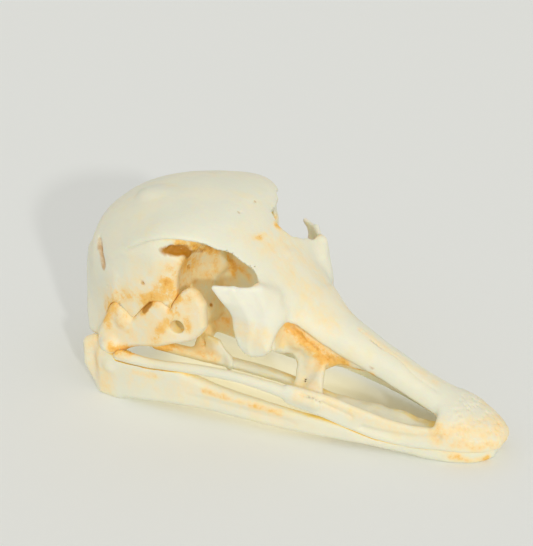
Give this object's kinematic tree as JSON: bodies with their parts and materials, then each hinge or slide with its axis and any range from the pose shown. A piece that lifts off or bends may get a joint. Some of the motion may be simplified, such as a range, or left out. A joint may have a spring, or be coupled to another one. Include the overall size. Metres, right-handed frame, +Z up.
{
  "type": "ostrich skull",
  "caption": "Dry ostrich skull with a long flat beak, large open eye sockets, thin cheek bars and its lower jaw closed under it.",
  "frame": {"origin": "on the surface that the skull lies on, under the middle of its length and width", "axes": "+X towards the tip of the beak, +Y to the bird's left, +Z up"},
  "size_m": [0.1795, 0.0742, 0.0838],
  "materials": {
    "bone": "dry ivory bone, satin, with fine pores",
    "jaw_bone": "dry ivory bone, satin, with long faint grooves",
    "stained_bone": "dry bone stained yellow and orange by old grease"
  },
  "bodies": {
    "root": {"cranium": "bone", "mandible": "jaw_bone", "quadrate_right": "stained_bone", "quadrate_left": "stained_bone"}
  },
  "joints": []
}
